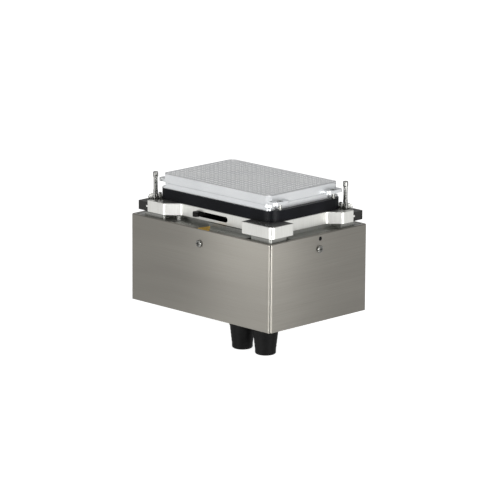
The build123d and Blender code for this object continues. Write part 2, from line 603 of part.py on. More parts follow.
def platform_plate():
    """Machined plate with the lever slot, the cam pocket and two corner channels."""
    plate = prism(platform_outline(), PLATE_Z, PLATE_TOP)
    for s in (-1, 1):
        plate = fillet(upright_edge(plate, s * HX, -s * HY), CORNER_R)
        plate = fillet(upright_edge(plate, s * STEP_X, -s * HY), 0.8)
        plate = fillet(upright_edge(plate, s * HX, -s * STEP_Y), 0.8)
        plate = fillet(upright_edge(plate, s * FACET_X, s * HY), 2.2)
        plate = fillet(upright_edge(plate, s * (FACET_X - CUT_DEPTH), s * CY), 2.2)
        plate = fillet(upright_edge(plate, s * HX, s * FACET_Y), 2.2)
        plate = fillet(upright_edge(plate, s * CX, s * (FACET_Y - FACET_RUN)), 2.2)
    plate = chamfer(plate.faces().sort_by(Axis.Z)[-1].edges(), 0.3)
    pocket = rod(0, 0, PLATE_Z - CUT, POCKET_TOP, CAM_R + LOOSE)
    plate -= pocket - rod(0, 0, PLATE_Z - 2 * CUT, POCKET_TOP + CUT, HUB_R)
    plate -= rod(0, 0, PLATE_Z - CUT, POCKET_TOP - 0.1, BEARING_SMALL_R)
    plate -= cover_outline(0.1, PLATE_Z - CUT, PLATE_Z + COVER_T)
    slot = Rot(90, 0, 0) * extrude(SlotOverall(SLOT_X1 - SLOT_X0, SLOT_H), CY - CAM_R + 6 + CUT)
    plate -= Pos((SLOT_X0 + SLOT_X1) / 2, 6 - CAM_R, SLOT_Z + SLOT_H / 2) * slot
    for side in (-1, 1):
        channel = box(-2, CARRIAGE_L + LOOSE, -CHANNEL_W / 2, CHANNEL_W / 2, PLATE_Z - CUT, PLATE_TOP + CUT)
        rib_z = (CARRIAGE_Z + CARRIAGE_TOP - RIB_T) / 2
        for v in (-1, 1):
            channel -= box(-3, 30, v * (CHANNEL_W / 2 - RIB_W), v * CHANNEL_W, rib_z, rib_z + RIB_T)
        reach = TONGUE_W / 2 + LOOSE + TRAVEL * abs(sin(TONGUE_TURN))
        channel += tongue_frame() * box(-CUT, TONGUE_L, -reach, reach, PLATE_Z, TONGUE_Z + TONGUE_T + LOOSE)
        plate -= at_corner(side) * channel
    for x, y in IDLERS:
        plate -= rod(x, y, PLATE_Z - CUT, POCKET_TOP, IDLER_BUSH_R)
    for x, y in FRAME_SCREWS:
        plate -= rod(x, y, PLATE_TOP - 4.2, PLATE_TOP + CUT, 1.25 + TAP)
    for x, y in cover_screw_places():
        plate -= rod(x, y, PLATE_Z - CUT, PLATE_Z + 5, 1.0 + TAP)
    return on_platform(plate)


def cover_screw_places():
    """Four places round the cam pocket, clear of the lever slot and the channels."""
    return [(sx * COVER_SCREW_R * 0.5, sy * COVER_SCREW_R * sqrt(0.75)) for sx, sy in CORNERS]


def platform_cover():
    """Steel sheet under the cam pocket, with a hole for the crank pin."""
    cover = cover_outline(0, PLATE_Z, PLATE_Z + COVER_T) - rod(0, 0, PLATE_Z - CUT, PLATE_TOP, 6.5)
    for x, y in cover_screw_places():
        cover -= rod(x, y, PLATE_Z - CUT, PLATE_TOP, 1.0 + PLAY)
    limits = prism(platform_outline(), PLATE_Z, PLATE_TOP)
    return on_platform(cover & limits)


def cover_screws():
    """Thin-head screws, level with the cover."""
    screw = Rot(180, 0, 0) * (rod(0, 0, -4.4, 0, 1.0) + rod(0, 0, 0, 0.3, 1.9))
    return on_platform(together([Pos(x, y, PLATE_Z) * screw for x, y in cover_screw_places()]))


def platform_bearing():
    """Bearing in the platform's hub, on the crank pin."""
    return on_platform(tube(0, 0, PLATE_Z + COVER_T + 0.1, PLATE_Z + COVER_T + 0.1 + BEARING_SMALL_W,
                            BEARING_SMALL_R - TAP, SHAFT_R))


def idler_bearings():
    """Bushes in the platform for the idler pins, with room for the linkage's spare pivots."""
    z = PLATE_Z + 0.6
    rings = [tube(x, y, z, z + 5, IDLER_BUSH_R - TAP, IDLER_PIN_R + SLIP) for x, y in IDLERS]
    return on_platform(together(rings))


def nest_stops():
    """Small steel stops on the platform's rim beside each carriage."""
    near, far = STOP_IN, STOP_IN + 5.8
    left = [(0.2, near), (2.8, near + 2.6), (2.8, far), (0.2, far)]
    left = prism([(u - HX, v - HY) for u, v in left], PLATE_TOP, PLATE_TOP + 1.4)
    right = [(near, 0.2), (far, 0.2), (far, 2.8), (near + 2.6, 2.8)]
    right = prism([(HX - u, HY - v) for u, v in right], PLATE_TOP, PLATE_TOP + 1.4)
    return on_platform(together([left, right]))


# ---- hot plate and adapter ----------------------------------------------------------------------
def insulating_frame():
    """Black plastic tray that carries the hot plate."""
    tray = slab(2 * FRAME_HX, 2 * FRAME_HY, PLATE_TOP, FRAME_TOP, FRAME_R)
    tray -= slab(2 * TRAY_HX, 2 * TRAY_HY, FRAME_FLOOR_TOP, FRAME_TOP + CUT, 4.0)
    for x, y in FRAME_SCREWS:
        tray -= Pos(x, y, FRAME_FLOOR_TOP) * flat_seat(2.4, 1.25, FRAME_T)
    for sx, sy in CORNERS:
        tray -= rod(sx * EAR_X, sy * EAR_Y, PLATE_TOP + 2, FRAME_TOP + CUT, 1.25 + TAP)
    return on_platform(tray)


def insulation_pad():
    """Mineral-fibre board in the tray, with a pocket for the thermal cut-out."""
    pad = slab(2 * TRAY_HX - 0.4, 2 * TRAY_HY - 0.4, FRAME_FLOOR_TOP, MAT_Z, 3.8)
    return on_platform(pad - rod(20, 0, MAT_Z - 3.6, MAT_Z + CUT, 5.2))


def heating_mat():
    """Silicone heating mat against the hot plate's underside."""
    return on_platform(slab(2 * TRAY_HX - 2, 2 * TRAY_HY - 2, MAT_Z, FRAME_TOP, 3.0))


def heater_plate():
    """Hot plate: scooped corners above a thin rounded foot, and ends notched for the ear screws."""
    plate = slab(ADAPTER_L, ADAPTER_W, FRAME_TOP, HEATER_TOP, FOOT_R)
    plate = chamfer(plate.faces().sort_by(Axis.Z)[-1].edges(), 0.25)
    for sx, sy in CORNERS:
        plate -= rod(sx * ADAPTER_L / 2, sy * ADAPTER_W / 2, FRAME_TOP + FOOT_T, HEATER_TOP + CUT, SCOOP_R)
        plate -= rod(sx * EAR_X, sy * EAR_Y, FRAME_TOP - CUT, HEATER_TOP + CUT, HEATER_NOTCH_R)
    plate -= Pos(12, ADAPTER_W / 2 - 14, FRAME_TOP + HEATER_T / 2) * Rot(90, 0, 0) * Cylinder(1.2, 30)
    return on_platform(plate)


def temperature_sensor():
    """Steel-tipped probe in a bore in the hot plate's rear edge."""
    probe = Rot(90, 0, 0) * Cylinder(1.15, 28)
    return on_platform(Pos(12, ADAPTER_W / 2 - 14, FRAME_TOP + HEATER_T / 2) * probe)


def thermal_cutout():
    """Round cut-out under the heating mat."""
    button = rod(20, 0, MAT_Z - 3.4, MAT_Z, 5.0)
    return on_platform(fillet(button.faces().sort_by(Axis.Z)[0].edges(), 0.6))


def adapter_block():
    """Dimpled block for thin-walled plates, with four screw ears on a low flange."""
    block = slab(ADAPTER_L, ADAPTER_W, HEATER_TOP, ADAPTER_TOP, 0.5)
    for sx, sy in CORNERS:
        block -= Pos(sx * ADAPTER_L / 2, sy * ADAPTER_W / 2, ADAPTER_TOP) * Rot(0, 0, 45) * \
            Box(CORNER_CUT * sqrt(2), CORNER_CUT * sqrt(2), 3 * ADAPTER_T)
    block = chamfer(block.faces().sort_by(Axis.Z)[-1].edges(), 0.3)
    block = chamfer(block.faces().sort_by(Axis.Z)[0].edges(), 0.25)
    for sx, sy in CORNERS:
        x0, x1 = sx * (ADAPTER_L / 2 - CORNER_CUT), sx * (ADAPTER_L / 2 + EAR_OUT)
        ear = box(x0, x1, sy * EAR_Y - EAR_W / 2, sy * EAR_Y + EAR_W / 2, HEATER_TOP, HEATER_TOP + EAR_T)
        outer = ear.edges().filter_by(Axis.Z).sort_by(lambda e: sx * e.center().X)[-2:]
        block += fillet(outer, 2.6)
    for sx, sy in CORNERS:
        block -= Pos(sx * EAR_X, sy * EAR_Y, HEATER_TOP + EAR_T) * flat_seat(2.3, 1.25, EAR_T + CUT)
    well = Cone(WELL_FLOOR_R, WELL_R, WELL_DEPTH, align=(Align.CENTER, Align.CENTER, Align.MAX))
    grid = GridLocations(WELL_PITCH, WELL_PITCH, WELLS_X, WELLS_Y)
    wells = [Pos(0, 0, ADAPTER_TOP) * spot * well for spot in grid]
    return on_platform(block - wells)


def adapter_screws():
    """Countersunk screws in the ears; their shanks show in the hot plate's notches."""
    screw = flat_screw(2.3, 1.25, EAR_T + HEATER_T + 5)
    places = [(sx * EAR_X, sy * EAR_Y) for sx, sy in CORNERS]
    return on_platform(together([Pos(x, y, HEATER_TOP + EAR_T) * screw for x, y in places]))


def frame_screws():
    """Countersunk screws through the tray's floor into the platform."""
    screw = flat_screw(2.4, 1.25, FRAME_FLOOR + 4.0)
    return on_platform(together([Pos(x, y, FRAME_FLOOR_TOP) * screw for x, y in FRAME_SCREWS]))


# ---- lock ---------------------------------------------------------------------------------------
def cam_slot():
    """Slot in the cam for the left carriage's pin: its curve gives the same travel for each degree."""
    steps = 8
    points = []
    for i in range(steps + 1):
        angle = radians(LOCK_ANGLE * i / steps)
        shift = LOCK_LEAD * angle / sqrt(2)
        x, y = -CAM_PIN_X - shift, -CAM_PIN_Y - shift
        points.append((x * cos(angle) + y * sin(angle), y * cos(angle) - x * sin(angle)))
    r = CAM_PIN_R + LOOSE
    band = Pos(*points[0]) * Circle(r)
    for (x0, y0), (x1, y1) in zip(points, points[1:]):
        turn = degrees(atan2(y1 - y0, x1 - x0))
        step = Rectangle(hypot(x1 - x0, y1 - y0), 2 * r)
        band += Pos((x0 + x1) / 2, (y0 + y1) / 2) * Rot(0, 0, turn) * step
        band += Pos(x1, y1) * Circle(r)
    return Pos(0, 0, CAM_Z - CUT) * extrude(band, CAM_T + 2 * CUT)


def cam_disc():
    """Flat ring on the platform's hub, with a curved slot for each carriage."""
    disc = tube(0, 0, CAM_Z, CAM_TOP, CAM_R, HUB_R + SLIP)
    slot = cam_slot()
    disc -= slot
    disc -= Rot(0, 0, 180) * slot
    for r in (23.0, 28.5):
        disc -= Rot(0, 0, -LEVER_REST) * Pos(0, -r, CAM_TOP) * flat_seat(1.9, 1.0, CAM_T + CUT)
    return on_platform(disc)


def lock_lever():
    """Black lever that runs under the cam, out through the slot, to a round knob."""
    root, slim = CAM_R + 0.6, LEVER_W / 2
    z0, z1 = SLOT_Z + LOOSE, SLOT_Z + SLOT_H - LOOSE
    arm = prism([(-3.2, -19), (3.2, -19), (slim, -root - CUT), (-slim, -root - CUT)], z0, CAM_Z)
    outer = box(-slim, slim, -LEVER_REACH, -root, z0, z1)
    lever = arm + outer + rod(0, -LEVER_REACH, z0, z1, KNOB_R)
    lever = fillet(lever.faces().sort_by(Axis.Z)[-1].outer_wire().edges(), 0.35)
    for r in (23.0, 28.5):
        lever -= rod(0, -r, z0 - CUT, CAM_Z + CUT, 1.0 + TAP)
    return on_platform(Rot(0, 0, -LEVER_REST) * lever)


def lever_screws():
    """Two small countersunk screws from the cam into the lever."""
    screw = flat_screw(1.9, 1.0, CAM_T + 1.6)
    screws = [Rot(0, 0, -LEVER_REST) * Pos(0, -r, CAM_TOP) * screw for r in (23.0, 28.5)]
    return on_platform(together(screws))


def carriage(side):
    """Dark anodised corner block with grooved sides and a tongue that reaches under the cam."""
    w = CARRIAGE_W / 2
    block = prism([(0, 0), (w, -w), (CARRIAGE_L, -w), (CARRIAGE_L, w), (w, w)], CARRIAGE_Z, CARRIAGE_TOP)
    block += prism([(0, 0), (w, -w), (13, -w), (13, w), (w, w)], PLATE_Z + 0.3, CARRIAGE_Z)
    block = fillet(upright_edge(block, 0, 0), 1.2)
    rib_z = (CARRIAGE_Z + CARRIAGE_TOP - RIB_T) / 2
    inner = CHANNEL_W / 2 - RIB_W - 0.15
    for v in (-1, 1):
        block -= box(-3, 30, v * inner, v * CHANNEL_W, rib_z - 0.15, rib_z + RIB_T + 0.15)
    v = TONGUE_W / 2
    block += tongue_frame() * box(-CUT, TONGUE_L + v, -v, v, TONGUE_Z, TONGUE_Z + TONGUE_T)
    for u, r in ((PIN_IN * sqrt(2), PIN_STEM_R), (SHORT_PIN_IN * sqrt(2), PIN_STEM_R)):
        block -= rod(u, 0, CARRIAGE_TOP - PIN_STEM_L, CARRIAGE_TOP + CUT, r + TAP)
    block -= rod(CAM_PIN_IN, CAM_PIN_OFF, TONGUE_Z - CUT, CAM_Z, CAM_PIN_R + TAP)
    return on_platform(at_corner(side) * block)


def tall_pin(side):
    """Polished holding pin: collar at the foot, slim neck and a rounded head."""
    u, z = PIN_IN * sqrt(2), CARRIAGE_TOP
    pin = rod(u, 0, z, z + 8, PIN_COLLAR_R) + rod(u, 0, z + 8, z + PIN_H - 4.2, PIN_R)
    head = rod(u, 0, z + PIN_H - 4.2, z + PIN_H, PIN_HEAD_R)
    head = fillet(head.faces().sort_by(Axis.Z)[-1].edges(), 0.7)
    pin += chamfer(head.faces().sort_by(Axis.Z)[0].edges(), 0.35)
    return on_platform(at_corner(side) * (pin + rod(u, 0, z - PIN_STEM_L, z, PIN_STEM_R)))


def short_pin(side):
    """Short locating pin behind the tall one."""
    u, z = SHORT_PIN_IN * sqrt(2), CARRIAGE_TOP
    pin = rod(u, 0, z, z + SHORT_PIN_H, SHORT_PIN_R)
    pin = chamfer(pin.faces().sort_by(Axis.Z)[-1].edges(), 0.3)
    return on_platform(at_corner(side) * (pin + rod(u, 0, z - PIN_STEM_L, z, PIN_STEM_R)))


def cam_pin(side):
    """Pin on the tongue that runs in the cam's slot."""
    pin = rod(CAM_PIN_IN, CAM_PIN_OFF, TONGUE_Z, CAM_TOP - 0.2, CAM_PIN_R)
    return on_platform(at_corner(side) * pin)


# ---- write every piece --------------------------------------------------------------------------
def fixed_pieces():
    pieces = {
        "sleeve": sleeve(), "base_plate": base_plate(), "corner_posts": corner_posts(),
        "deck_frame": deck_frame(), "deck_seal": deck_seal(), "status_lamp": lamp(),
        "warning_label": warning_label(), "side_screws": side_screws(), "tie_screws": tie_screws(),
        "controller_board": controller_board(), "board_posts": board_posts(),
        "board_sockets": board_sockets(),
        "home_sensor": home_sensor(), "bearing_block": bearing_block(), "block_screws": block_screws(),
        "lower_main_bearing": main_bearing(MOTOR_TOP),
        "upper_main_bearing": main_bearing(BLOCK_TOP - BEARING_W),
        "motor_can": motor_can(), "motor_screws": motor_screws(), "stator_core": stator(),
        "windings": windings(), "idler_bushes": idler_bushes(),
    }
    for number, (x, y) in enumerate(GLANDS, 1):
        pieces[f"gland_body_{number}"] = gland_body(x, y)
        pieces[f"gland_boot_{number}"] = gland_boot(x, y)
    pieces["gland_nuts"] = together([gland_nut(x, y) for x, y in GLANDS])
    stud = rod(*EARTH, BASE_T / 2 + 0.1, BASE_T + 8, 1.5)
    stud += Pos(*EARTH, BASE_T) * extrude(RegularPolygon(3.4, 6), 2.4)
    pieces["earth_stud"] = stud
    return pieces


def moving_pieces():
    pieces = {
        "crank_shaft": crank_shaft(), "rotor": rotor(), "counterweight": counterweight(),
        "home_flag": home_flag(),
        "platform_plate": platform_plate(), "platform_cover": platform_cover(),
        "cover_screws": cover_screws(), "platform_bearing": platform_bearing(),
        "idler_bearings": idler_bearings(), "nest_stops": nest_stops(),
        "insulating_frame": insulating_frame(), "insulation_pad": insulation_pad(),
        "heating_mat": heating_mat(), "heater_plate": heater_plate(),
        "temperature_sensor": temperature_sensor(), "thermal_cutout": thermal_cutout(),
        "adapter_block": adapter_block(), "adapter_screws": adapter_screws(),
        "frame_screws": frame_screws(), "cam_disc": cam_disc(), "lock_lever": lock_lever(),
        "lever_screws": lever_screws(),
    }
    for number, (x, y) in enumerate(IDLERS, 1):
        pieces[f"idler_crank_{number}"] = idler(x, y)
    for name, side in (("left", -1), ("right", 1)):
        pieces[f"{name}_carriage"] = carriage(side)
        pieces[f"{name}_tall_pin"] = tall_pin(side)
        pieces[f"{name}_short_pin"] = short_pin(side)
        pieces[f"{name}_cam_pin"] = cam_pin(side)
    return pieces


os.makedirs("parts", exist_ok=True)
for node, shape in {**fixed_pieces(), **moving_pieces()}.items():
    export_step(shape, f"parts/{node}.step")
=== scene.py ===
"""Looks and studio for an orbital dry block heater, laid out as an add-on and run as a script."""

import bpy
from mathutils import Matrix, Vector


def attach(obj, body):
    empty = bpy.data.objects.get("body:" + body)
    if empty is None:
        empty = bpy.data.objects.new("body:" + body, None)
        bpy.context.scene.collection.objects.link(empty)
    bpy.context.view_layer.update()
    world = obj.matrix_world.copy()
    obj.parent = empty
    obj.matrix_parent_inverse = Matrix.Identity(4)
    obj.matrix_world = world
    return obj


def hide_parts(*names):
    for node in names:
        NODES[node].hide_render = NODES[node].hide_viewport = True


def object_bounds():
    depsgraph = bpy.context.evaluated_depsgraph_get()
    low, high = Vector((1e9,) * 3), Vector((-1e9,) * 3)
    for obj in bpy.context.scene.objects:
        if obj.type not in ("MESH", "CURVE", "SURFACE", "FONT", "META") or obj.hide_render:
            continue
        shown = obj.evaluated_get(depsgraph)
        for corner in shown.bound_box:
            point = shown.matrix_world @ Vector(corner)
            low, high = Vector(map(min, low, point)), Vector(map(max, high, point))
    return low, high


bl_info = {
    "name": "Orbital dry block heater",
    "version": (1, 0, 0),
    "blender": (4, 5, 0),
    "location": "3D View > Sidebar > Block heater",
    "description": "Gives the packed block heater its finishes, trim and studio",
    "category": "Object",
}

import math

import bmesh
import bpy
from bpy.props import FloatProperty, PointerProperty, StringProperty
from mathutils import Matrix, Vector

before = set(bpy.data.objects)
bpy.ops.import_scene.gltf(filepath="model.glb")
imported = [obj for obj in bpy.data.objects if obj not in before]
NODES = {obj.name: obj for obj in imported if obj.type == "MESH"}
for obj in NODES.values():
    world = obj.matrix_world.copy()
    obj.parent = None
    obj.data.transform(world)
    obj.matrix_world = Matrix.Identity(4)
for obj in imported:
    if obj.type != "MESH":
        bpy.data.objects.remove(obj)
CAD_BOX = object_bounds()

MM = 0.001
SLOT_HALF = 20 * MM       # half of the lever slot's length
SLOT_LOW = 70.5 * MM      # the slot and the pocket behind it lie between these levels
SLOT_HIGH = 75.6 * MM
POCKET_R = 33 * MM
SLOT_SKIN = 0.1 * MM      # the painted shade, black, in the slot starts this far behind the plate's front face
DIMPLES_X = 54.6 * MM     # the dimples lie within this half length and half width, and this depth
DIMPLES_Y = 36.6 * MM
DIMPLE_DEPTH = 1.8 * MM
DIMPLE_SKIN = 0.02 * MM   # faces nearer to the block's top than this belong to the land

# Boots, in millimetres
BOOT_R = 9.8              # collar
BOOT_TIP_R = 8.1
BOOT_HOLE_R = 3.5         # the cable's hole
BOOT_STUB_R = 6.02        # the gland's stub, which the boot is pushed over
BOOT_STUB_L = 8.0
BOOT_EDGE = 0.3           # rounding of the collar's rim
BOOT_COLLAR_L = 1.8
BOOT_STEP = 0.35          # the taper starts this far inside the collar
BOOT_TAPER_TOP = 2.2      # the taper, from below the boot's top to above its tip
BOOT_TAPER_END = 2.8
BOOT_FOLDS = 5
BOOT_FOLD_STEPS = 4       # points down each fold
BOOT_FOLD_IN = 0.05       # half of a fold's depth
BOOT_LIP = 0.5            # rounding of the hole's lip

# Studio: places and sizes in metres
AIM_Z = 0.06              # the lights look at a point this far above the origin
FRONT_BOX_AT = (0.16, -0.50, AIM_Z)
RIGHT_BOX_AT = (0.50, -0.16, AIM_Z)
TOP_BOX_AT = (-0.3, 0.3, 1.4)
SIDE_BOX_SIZE = (0.22, 0.14)
TOP_BOX_SIZE = (1.4, 1.4)
FRONT_SHARE = 0.45        # power of the front and right softboxes, as a share of the top one's
RIGHT_SHARE = 0.62
CARDS = {"card_left": (-0.125, -0.27, AIM_Z), "card_right": (0.29, 0.115, AIM_Z)}
CARD_SIZE = (0.11, 0.14)
FLOOR_HALF = 12.0
FLOOR_CELLS = 8
FLOOR_GLOW = 0.86         # the paper glows by this much, so that it stays white under soft light
SENSOR_MM = 36.0
CLIP_END = 50.0

# The room's brightness, from behind the object (0) round to the studio's front (1)
ROOM_BACK = (0.56, 0.56, 0.56, 1)
ROOM_FRONT = (0.10, 0.10, 0.11, 1)
ROOM_STOPS = (
    (0.12, 0.56), (0.34, 0.70), (0.5, 0.72), (0.64, 0.80),
    (0.71, 2.2), (0.81, 2.2), (0.87, 0.03),
)
ROOM_DIM = 0.5            # the room dims to this share of its brightness between the next two heights
ROOM_DIM_FROM = 0.15
ROOM_DIM_TO = 0.55


# ---- colour and node helpers --------------------------------------------------------------------
def linear(hex_colour):
    """An sRGB hex value as a linear colour with alpha."""
    channels = [int(hex_colour[i:i + 2], 16) / 255 for i in (1, 3, 5)]
    return [c / 12.92 if c <= 0.04045 else ((c + 0.055) / 1.055) ** 2.4 for c in channels] + [1.0]


def add(tree, kind, links=None, **settings):
    """Adds a node: settings go on the node, and links on its inputs, from a socket or a value."""
    made = tree.nodes.new(kind)
    for name, value in settings.items():
        setattr(made, name, value)
    for name, value in (links or {}).items():
        if isinstance(value, bpy.types.NodeSocket):
            tree.links.new(value, made.inputs[name])
        else:
            made.inputs[name].default_value = value
    return made


def material(name, **constants):
    """A new material with one Principled shader. Returns the material, its tree and the shader."""
    made = bpy.data.materials.new(name)
    made.use_nodes = True
    tree = made.node_tree
    tree.nodes.clear()
    shader = add(tree, "ShaderNodeBsdfPrincipled", constants)
    add(tree, "ShaderNodeOutputMaterial", {"Surface": shader.outputs["BSDF"]})
    return made, tree, shader


def stretched(tree, scale):
    """Object coordinates in millimetres, stretched by the given scale for each axis."""
    place = add(tree, "ShaderNodeTexCoord").outputs["Object"]
    sized = tuple(s / MM for s in scale)
    return add(tree, "ShaderNodeMapping", {"Vector": place, "Scale": sized}).outputs["Vector"]


def noise(tree, scale, detail=3.0, roughness=0.5):
    """Noise whose grain is set for each axis in cycles per millimetre."""
    sockets = {"Vector": stretched(tree, scale), "Scale": 1.0, "Detail": detail, "Roughness": roughness}
    return add(tree, "ShaderNodeTexNoise", sockets).outputs["Fac"]


def spread(tree, value, low, high, start=0.0, end=1.0):
    """Maps a value's range start to end onto low to high."""
    sockets = {"Value": value, "From Min": start, "From Max": end, "To Min": low, "To Max": high}
    return add(tree, "ShaderNodeMapRange", sockets).outputs["Result"]


def blend_colours(tree, value, first, second):
    """A colour between two hex values, chosen by a value from 0 to 1."""
    ramp = add(tree, "ShaderNodeValToRGB", {"Fac": value})
    ramp.color_ramp.elements[0].color = linear(first)
    ramp.color_ramp.elements[1].color = linear(second)
    return ramp.outputs["Color"]


def bumped(tree, shader, height, depth_mm):
    """Gives the shader a bump of a real depth."""
    sockets = {"Height": height, "Distance": depth_mm * MM, "Strength": 1.0}
    tree.links.new(add(tree, "ShaderNodeBump", sockets).outputs["Normal"], shader.inputs["Normal"])


# ---- finishes -----------------------------------------------------------------------------------
def brushed_stainless(settings):
    """Stainless sheet, belt-brushed along the sleeve: fine level lines that smear what it reflects
    upwards, and broad faint streaks. The belt's 0.1 mm scratches are drawn at 0.5 mm so that they show."""
    made, tree, shader = material("stainless_sheet_belt_brushed", Metallic=1.0, Anisotropic=0.9)
    shader.inputs["Anisotropic Rotation"].default_value = 0.25
    lines = noise(tree, (0.02, 0.02, 1.8), 3.0, 0.6)
    streaks = noise(tree, (0.006, 0.006, 0.05), 2.0)
    both = add(tree, "ShaderNodeMath", {0: lines, 1: streaks}, operation="MULTIPLY").outputs[0]
    fade = spread(tree, both, 0.0, 1.0, 0.02, 0.56)
    colour = blend_colours(tree, fade, settings.steel_dark, settings.steel_light)
    tree.links.new(colour, shader.inputs["Base Color"])
    tree.links.new(spread(tree, lines, 0.31, 0.39, 0.3, 0.7), shader.inputs["Roughness"])
    bumped(tree, shader, lines, 0.0006)
    tangent = add(tree, "ShaderNodeTangent", direction_type="RADIAL", axis="Z").outputs["Tangent"]
    tree.links.new(tangent, shader.inputs["Tangent"])
    return made


def milled_aluminium(name, dark, light, rough, top_rough):
    """Bare aluminium plate: end-milled sides, satin with fine cutter marks drawn 0.6 mm apart, and
    fly-cut upper faces that mirror what stands on them."""
    made, tree, shader = material(name, Metallic=1.0)
    marks = noise(tree, (1.6, 1.6, 0.1), 2.0)
    cloud = noise(tree, (0.05, 0.05, 0.05), 3.0)
    colour = blend_colours(tree, spread(tree, marks, 0.0, 1.0, 0.2, 0.8), dark, light)
    tree.links.new(colour, shader.inputs["Base Color"])
    normal = add(tree, "ShaderNodeNewGeometry").outputs["Normal"]
    level = add(tree, "ShaderNodeSeparateXYZ", {"Vector": normal}).outputs["Z"]
    base = spread(tree, level, rough, top_rough, 0.9, 0.99)
    vary = spread(tree, cloud, -0.04, 0.05, 0.3, 0.7)
    final = add(tree, "ShaderNodeMath", {0: base, 1: vary}, operation="ADD").outputs[0]
    tree.links.new(final, shader.inputs["Roughness"])
    bumped(tree, shader, marks, 0.0004)
    return made


def anodised_aluminium(name, dark, light, rough):
    """Aluminium, bead-blasted then anodised: an even pale grey with a soft sheen and a grain of 0.3 mm."""
    made, tree, shader = material(name, Metallic=0.9)
    grain = noise(tree, (3.3, 3.3, 3.3), 2.0)
    cloud = noise(tree, (0.03, 0.03, 0.03), 2.0)
    mixed = add(tree, "ShaderNodeMath", {0: grain, 1: cloud}, operation="MULTIPLY").outputs[0]
    colour = blend_colours(tree, spread(tree, mixed, 0.0, 1.0, 0.12, 0.4), dark, light)
    tree.links.new(colour, shader.inputs["Base Color"])
    tree.links.new(spread(tree, grain, rough - 0.04, rough + 0.06, 0.3, 0.7), shader.inputs["Roughness"])
    bumped(tree, shader, grain, 0.0012)
    return made


def moulded(name, dark, light, rough, grain_mm=0.25, depth_mm=0.003, gloss=0.12):
    """Moulded plastic or rubber: a dull, nearly even colour over a fine spark-eroded grain."""
    made, tree, shader = material(name)
    shader.inputs["Specular IOR Level"].default_value = gloss
    grain = noise(tree, (1 / grain_mm,) * 3, 2.0)
    cloud = noise(tree, (0.06, 0.06, 0.06), 3.0)
    colour = blend_colours(tree, spread(tree, cloud, 0.0, 1.0, 0.35, 0.65), dark, light)
    tree.links.new(colour, shader.inputs["Base Color"])
    tree.links.new(spread(tree, grain, rough - 0.06, rough + 0.08, 0.3, 0.7), shader.inputs["Roughness"])
    bumped(tree, shader, grain, depth_mm)
    return made


def turned_steel(name, dark, light, rough):
    """Turned or ground steel: clear reflections broken by fine rings round the axis, 0.2 mm apart."""
    made, tree, shader = material(name, Metallic=1.0)
    rings = noise(tree, (0.3, 0.3, 5.0), 2.0)
    tree.links.new(blend_colours(tree, rings, dark, light), shader.inputs["Base Color"])
    tree.links.new(spread(tree, rings, rough - 0.04, rough + 0.08, 0.3, 0.7), shader.inputs["Roughness"])
    bumped(tree, shader, rings, 0.0015)
    return made


# ---- mesh helpers -------------------------------------------------------------------------------
def piece(name, mesh_from, body, finish, replaces=()):
    """Makes a mesh object from a filled bmesh, in place, and gives it its body, slot and finish."""
    mesh = bpy.data.meshes.new(name)
    bmesh.ops.recalc_face_normals(mesh_from, faces=mesh_from.faces)
    mesh_from.to_mesh(mesh)
    mesh_from.free()
    made = bpy.data.objects.new(name, mesh)
    bpy.context.scene.collection.objects.link(made)
    mesh.materials.append(finish)
    mesh.shade_smooth()
    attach(made, body)
    if replaces:
        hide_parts(*replaces)
    return made


def revolve(profile, place, segments=96):
    """A closed ring about an upright axis from (radius, height) points in millimetres."""
    shape = bmesh.new()
    turns = [2 * math.pi * i / segments for i in range(segments)]
    rings = []
    for radius, height in profile:
        points = [(place[0] + radius * math.cos(a), place[1] + radius * math.sin(a), height) for a in turns]
        rings.append([shape.verts.new(Vector(point) * MM) for point in points])
    for lower, upper in zip(rings, rings[1:] + rings[:1]):
        for i in range(segments):
            k = (i + 1) % segments
            shape.faces.new((lower[i], lower[k], upper[k], upper[i]))
    return shape


def finish_nodes(finish, *names):
    """Puts a finish on CAD nodes."""
    for name in names:
        slots = NODES[name].data.materials
        slots.clear()
        slots.append(finish)


# ---- settings -----------------------------------------------------------------------------------
def colour_setting(name, hex_colour, description):
    """A colour that the user sets as an sRGB hex value."""
    return StringProperty(name=name, default=hex_colour, description=f"{description}, as an sRGB hex value")


class BodyFinish(bpy.types.PropertyGroup):
    """Finishes of the fixed body."""
    steel_dark: colour_setting("Steel, dark", "#8c8983", "Darkest brushing of the sleeve")
    steel_light: colour_setting("Steel, light", "#a19e96", "Lightest brushing of the sleeve")
    deck_dark: colour_setting("Deck, dark", "#8f908c", "Darkest milling of the deck")
    deck_light: colour_setting("Deck, light", "#a4a5a1", "Lightest milling of the deck")
    rubber: colour_setting("Rubber", "#060606", "Boots below the base")


class PlatformFinish(bpy.types.PropertyGroup):
    """Finishes of the platform, the lock and the hot plate."""
    plate_dark: colour_setting("Platform, dark", "#e4e4df", "Darkest milling of the platform")
    plate_light: colour_setting("Platform, light", "#f3f3ef", "Lightest milling of the platform")
    block_dark: colour_setting("Block, dark", "#dcdee0", "Darkest anodising of the block")
    block_light: colour_setting("Block, light", "#ebedee", "Lightest anodising of the block")
    frame_black: colour_setting("Frame", "#040508", "Black insulating frame")


